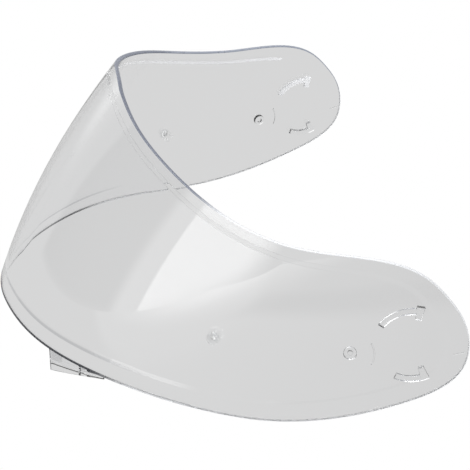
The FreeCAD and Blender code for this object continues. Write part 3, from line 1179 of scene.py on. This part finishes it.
        bm = mapped_grid(self.tab_stations, 5, place)
        rims = [edge for edge in bm.edges if edge.is_boundary]
        ends = bmesh.ops.holes_fill(bm, edges=rims, sides=8)["faces"]
        bmesh.ops.recalc_face_normals(bm, faces=bm.faces)
        # Painted shade: the pocket ends get the edge finish, which is painted dark at the foot.
        if hollow:
            for face in ends:
                face.material_index = Zone.EDGE
        else:
            turn = self.tab_corner_turn
            corners = [edge for edge in bm.edges if edge.calc_face_angle(0) > turn]
            soften(bm, corners, self.tab_round, 3)
        return finished_object(bm, name, self.finishes)

    def lift_tab(self) -> Piece:
        """Lift tab with its hollows, open underneath.

        Returns:
            The tab as an object.
        """
        tab = self.tab_solid(0.0, 1.0, False, "lift_tab")
        rib = self.tab_wall / (self.tab_back - self.tab_front)
        starts = (rib, *(end + rib for end in self.tab_pockets))
        combined(tab, [
            (self.tab_solid(start, end, True, "tab_pocket"), "DIFFERENCE")
            for start, end in zip(starts, self.tab_pockets)
        ])
        return tab

    def build(self) -> Piece:
        """Whole shield as one moulding.

        Returns:
            The finished piece.
        """
        self.finishes = tuple(SHIELD_FINISHES[zone].material() for zone in Zone)
        shield = finished_object(self.sheet_mesh(), "clear_shield", self.finishes)
        tools = self.arm_tools(Side.LEFT) + self.arm_tools(Side.RIGHT)
        combined(shield, tools + [(self.lift_tab(), "UNION")])
        dress(shield, "shield", "clear_shell", "shield_shell")
        return shield


# Anti-fog pins


@dataclass
class PinSet:
    """Eccentric insert pin, sealing washer and slotted outer screw of one side."""

    sheet: Sheet
    side: Side
    place: Pair = (130.7 * MM, 65.1 * MM)
    wall: float = 2.3 * MM
    gap: float = 0.3 * MM
    sleeve_radius: float = 1.54 * MM
    flange_radius: float = 2.9 * MM
    flange_thick: float = 0.6 * MM
    neck_radius: float = 1.9 * MM
    neck_length: float = 1.4 * MM
    neck_lap: float = 0.1 * MM
    head_radius: float = 2.8 * MM
    head_thick: float = 0.9 * MM
    offset: float = 0.5 * MM
    rounding: float = 0.25 * MM
    rounding_steps: int = 5
    bore_radius: float = 0.93 * MM
    bore_past_flange: float = 0.4 * MM
    shank_radius: float = 0.9 * MM
    shank_chamfer: float = 0.2 * MM
    screw_head_radius: float = 2.9 * MM
    screw_head_thick: float = 1.0 * MM
    slot_width: float = 0.8 * MM
    slot_depth: float = 0.5 * MM
    slot_reach: float = 2.4
    washer_radius: float = 2.6 * MM
    washer_thick: float = 0.4 * MM
    washer_chamfer: float = 0.1 * MM

    def seated(self, bm: Mesh, name: str, finish: bpy.types.Material) -> Piece:
        """Seat a body on this side's shoulder.

        Args:
            bm: body drawn on the seat's axes.
            name: piece name without its side.
            finish: its material.

        Returns:
            The piece as an object.
        """
        self.sheet.seat(bm, self.place, self.side)
        return finished_object(bm, name + "_" + self.side.value, (finish,))

    def dressed(self, piece: Piece, slot: str, node: str) -> None:
        """Tie a piece to this side's set and to its CAD node."""
        dress(piece, "pin_set_" + self.side.value, slot, node + "_" + self.side.value)

    def rounded(self, radius: float, level: float, inward: float) -> list[Pair]:
        """Profile points of a rounded rim, from the side to the face.

        Args:
            radius: outer radius.
            level: level of the face.
            inward: 1 if the body lies above the face, -1 if below.

        Returns:
            Radius and level pairs.
        """
        return [
            (radius - self.rounding * side, level + inward * self.rounding * face)
            for side, face in quarter_round(self.rounding_steps)
        ]

    def pin(self) -> None:
        """Eccentric pin with a sleeve through the wall."""
        under_wall = -(self.wall + self.gap)
        under_flange = under_wall - self.flange_thick
        under_neck = under_flange - self.neck_length
        under_head = under_neck - self.head_thick
        bore_end = under_flange - self.bore_past_flange
        neck_top = under_flange + self.neck_lap
        head, soft = self.head_radius, self.rounding
        body = turned([
            (0, bore_end), (self.bore_radius, bore_end), (self.bore_radius, self.gap),
            (self.sleeve_radius, self.gap), (self.sleeve_radius, under_wall),
            (self.flange_radius, under_wall),
            *self.rounded(self.flange_radius, under_flange, 1), (0, under_flange),
        ])
        tail = turned([
            (0, neck_top), (self.neck_radius, neck_top), (self.neck_radius, under_neck),
            (head - soft, under_neck), (head, under_neck - soft),
            *self.rounded(head, under_head, 1), (0, under_head),
        ], offset=self.offset)
        finish = PIN_PLASTIC.material()
        pin = self.seated(body, "insert_pin", finish)
        combined(pin, [(self.seated(tail, "pin_tail", finish), "UNION")])
        self.dressed(pin, "pin_nylon", "antifog_pin")

    def washer(self) -> None:
        """Thin sealing washer under the screw head."""
        low, high = self.gap, self.gap + self.washer_thick
        inner, outer, soft = self.bore_radius, self.washer_radius, self.washer_chamfer
        body = turned([
            (inner, low), (outer - soft, low), (outer, low + soft), (outer, high - soft),
            (outer - soft, high), (inner, high), (inner, low),
        ])
        washer = self.seated(body, "sealing_washer", WASHER_PLASTIC.material())
        self.dressed(washer, "washer_silicone", "antifog_washer")

    def screw(self) -> None:
        """Outer screw with a slotted, rounded head."""
        under = self.gap + self.washer_thick
        top = under + self.screw_head_thick
        tip = -(self.wall + self.gap + self.flange_thick)
        soft = self.shank_chamfer
        body = turned([
            (0, top), *reversed(self.rounded(self.screw_head_radius, top, -1)),
            (self.screw_head_radius, under), (self.shank_radius, under),
            (self.shank_radius, tip + soft), (self.shank_radius - soft, tip), (0, tip),
        ])
        finish = SCREW_PLASTIC.material()
        screw = self.seated(body, "outer_screw", finish)
        slot_length = self.screw_head_radius * self.slot_reach
        slot = block((slot_length, self.slot_width, self.slot_depth * 2), top)
        combined(screw, [(self.seated(slot, "screw_slot", finish), "DIFFERENCE")])
        self.dressed(screw, "screw_nylon", "antifog_screw")

    def build(self) -> None:
        """Make the three pieces of the set."""
        self.pin()
        self.washer()
        self.screw()


# Stage


@dataclass(frozen=True)
class Window:
    """Area of the studio that the plastic mirrors, between soft borders in degrees.

    Azimuth 0 is straight ahead of the shield and 90 is at its left.
    """

    left: Pair
    right: Pair
    low: Pair
    high: Pair
    light: float

    def mask(self, nodes: Nodes, azimuth: Socket, elevation: Socket) -> Socket:
        """Mask of the window.

        Args:
            nodes: the world's nodes.
            azimuth: azimuth in radians.
            elevation: elevation in radians.

        Returns:
            1 inside the window and 0 outside it.
        """
        result = None
        for angle, border, to in (
            (azimuth, self.left, (0.0, 1.0)), (azimuth, self.right, (1.0, 0.0)),
            (elevation, self.low, (0.0, 1.0)), (elevation, self.high, (1.0, 0.0)),
        ):
            side = nodes.spread(angle, tuple(math.radians(end) for end in border), to)
            result = nodes.math("MULTIPLY", result, side) if result else side
        return result


STUDIO_WINDOWS = (
    Window((-125.0, -100.0), (-60.0, -36.0), (-2.0, 6.0), (40.0, 70.0), light=1.15),
    Window((-33.0, -30.0), (8.0, 12.0), (-5.5, -3.0), (30.0, 60.0), light=0.38),
    Window((10.0, 14.0), (20.0, 21.0), (-8.0, -4.0), (30.0, 60.0), light=1.2),
    Window((20.0, 21.0), (44.0, 58.0), (-12.0, -2.0), (30.0, 60.0), light=2.7),
)


@dataclass
class Studio:
    """Pale floor, soft studio round the shield and the camera of the photograph."""

    floor_size: float = 1.0
    floor_grey: float = 0.8
    paper_grey: float = 0.68
    side_start: Pair = (100.0 * MM, 125.0 * MM)
    # Painted light and shade on the floor that the plastic mirrors: greys along it, darker bands
    # across it and a pool of light.
    painted_greys_along: tuple[Pair, ...] = (
        (-0.18, 0.96), (-0.11, 0.90), (-0.06, 0.76), (-0.015, 0.68), (0.01, 0.62), (0.05, 0.54),
        (0.08, 0.44),
    )
    painted_shares_across: tuple[Pair, ...] = (
        (0.25, 1.0), (0.285, 0.35), (0.315, 0.30), (0.35, 0.62), (0.45, 0.65), (0.50, 0.85),
    )
    painted_shares_start: Pair = (-0.16, -0.06)
    painted_glow_place: Triple = (0.47, -0.42, 0.0)
    painted_glow_reach: float = 0.36
    painted_glow_light: float = 1.5
    ceiling_light: Triple = (0.30, 0.33, 0.40)
    ceiling_border: Pair = (math.radians(25.0), math.radians(65.0))
    lamp_size: float = 0.9
    lamp_power: float = 16.0
    lamp_place: Triple = (-0.3, 0.2, 1.3)
    camera_azimuth: float = math.radians(81.745)
    camera_elevation: float = math.radians(28.318)
    camera_distance: float = 724.8 * MM
    camera_sensor: float = 36.0
    camera_lens: float = 1486.0 / 470.0 * 36.0
    aim: Triple = (0.0, 17.67 * MM, 28.22 * MM)

    def floor(self) -> None:
        """Plain floor: white behind the object, pale paper seen through the plastic, and paper with
        painted light and shade mirrored in it.
        """
        bm = bmesh.new()
        bmesh.ops.create_grid(bm, x_segments=1, y_segments=1, size=self.floor_size / 2)
        mat = bpy.data.materials.new("pale_floor")
        mat.use_nodes = True
        nodes = Nodes(mat.node_tree)
        nodes.tree.nodes.clear()
        path = nodes.add("LightPath").outputs
        through = nodes.math("MAXIMUM", path["Is Glossy Ray"], path["Is Transmission Ray"])
        matte = nodes.add("BsdfDiffuse", {"Color": (*(self.floor_grey,) * 3, 1)}).outputs[0]
        paper = nodes.add("Emission", {"Color": self.paper_and_painted_light(nodes)}).outputs[0]
        white = nodes.add("Emission", {"Color": (1, 1, 1, 1)}).outputs[0]
        unseen = nodes.add("MixShader", {0: through, 1: matte, 2: paper}).outputs[0]
        shown = nodes.add("MixShader", {0: path["Is Camera Ray"], 1: unseen, 2: white}).outputs[0]
        nodes.add("OutputMaterial", {"Surface": shown})
        floor = finished_object(bm, "floor", (mat,))

    def greys(self, nodes: Nodes, place: Socket, stops: tuple[Pair, ...]) -> Socket:
        """Grey that changes along a coordinate of the floor.

        Args:
            nodes: the floor's nodes.
            place: the coordinate.
            stops: pairs of a place and a grey, in order.

        Returns:
            The grey.
        """
        first, last = stops[0][0], stops[-1][0]
        shares = tuple(((place - first) / (last - first), (grey,) * 3) for place, grey in stops)
        return nodes.ramp(nodes.spread(place, (first, last), smooth=False), shares)

    def paper_and_painted_light(self, nodes: Nodes) -> Socket:
        """Paper of the floor: even below the object, with a painted pool of light at its left side
        and painted darker stretches, which only its reflections show.

        Args:
            nodes: the floor's nodes.

        Returns:
            The colour.
        """
        place = nodes.add("TexCoord").outputs["Object"]
        parts = nodes.add("SeparateXYZ", {0: place}).outputs
        ahead = nodes.spread(parts["Y"], self.painted_shares_start, (1.0, 0.0))
        shares = self.greys(nodes, parts["X"], self.painted_shares_across)
        across = nodes.blend(shares, (1.0, 1.0, 1.0), ahead)
        paper = nodes.math("MULTIPLY", self.greys(nodes, parts["Y"], self.painted_greys_along), across)
        # Painted pool of light, brighter than white, round one spot of the floor.
        reach = nodes.measure("DISTANCE", place, self.painted_glow_place)
        glow = nodes.spread(reach, (0.0, self.painted_glow_reach), (self.painted_glow_light, 0.0))
        below = nodes.spread(parts["X"], self.side_start, (1.0, 0.0))
        grey = (self.paper_grey,) * 3
        even = nodes.blend(nodes.math("ADD", paper, glow), grey, below)
        return nodes.blend(even, grey, nodes.seen_through())

    def world(self) -> None:
        """White background, with the pale studio that the plastic shows and mirrors."""
        world = bpy.data.worlds.new("studio")
        bpy.context.scene.world = world
        world.use_nodes = True
        nodes = Nodes(world.node_tree)
        ray = nodes.add("TexCoord").outputs["Generated"]
        parts = nodes.add("SeparateXYZ", {0: ray}).outputs
        ahead = nodes.math("MULTIPLY", parts["Y"], -1.0)
        azimuth = nodes.math("ARCTAN2", parts["X"], ahead)
        elevation = nodes.math("ARCSINE", parts["Z"])
        grey = (self.paper_grey,) * 3
        above = nodes.spread(elevation, self.ceiling_border)
        light = nodes.blend(grey, self.ceiling_light, above)
        for window in STUDIO_WINDOWS:
            mask = window.mask(nodes, azimuth, elevation)
            light = nodes.blend(light, (window.light,) * 3, mask)
        light = nodes.blend(light, grey, nodes.seen_through())
        seen = nodes.add("LightPath").outputs["Is Camera Ray"]
        shown = nodes.blend(light, (1.0, 1.0, 1.0), seen)
        nodes.feed(world.node_tree.nodes["Background"], {"Color": shown})

    def lamp(self) -> None:
        """Large soft lamp overhead."""
        data = bpy.data.lights.new("overhead", "AREA")
        data.shape = "RECTANGLE"
        data.size = data.size_y = self.lamp_size
        data.energy = self.lamp_power
        lamp = added("overhead", data)
        lamp.location = self.lamp_place
        lamp.rotation_euler = Vector(self.lamp_place).to_track_quat("Z", "Y").to_euler()
        lamp.visible_camera = False

    def camera(self) -> None:
        """Camera at the photograph's viewing angle."""
        data = bpy.data.cameras.new("camera")
        data.lens = self.camera_lens
        data.sensor_width = self.camera_sensor
        data.clip_start = 10 * MM
        camera = added("camera", data)
        azimuth, elevation = self.camera_azimuth, self.camera_elevation
        level = math.cos(elevation)
        back = Vector((math.sin(azimuth) * level, -math.cos(azimuth) * level, math.sin(elevation)))
        camera.location = Vector(self.aim) + back * self.camera_distance
        camera.rotation_euler = back.to_track_quat("Z", "Y").to_euler()
        bpy.context.scene.camera = camera

    def build(self) -> None:
        """Set the stage."""
        bpy.context.scene.view_settings.view_transform = "Standard"
        self.floor()
        self.world()
        self.lamp()
        self.camera()


def main() -> None:
    """Build the shield, its pins and the stage."""
    logging.basicConfig(level=logging.INFO, format="%(message)s")
    sheet = Sheet()
    Shield(sheet).build()
    for side in Side:
        PinSet(sheet, side).build()
    Studio().build()


if __name__ == "__main__":
    main()
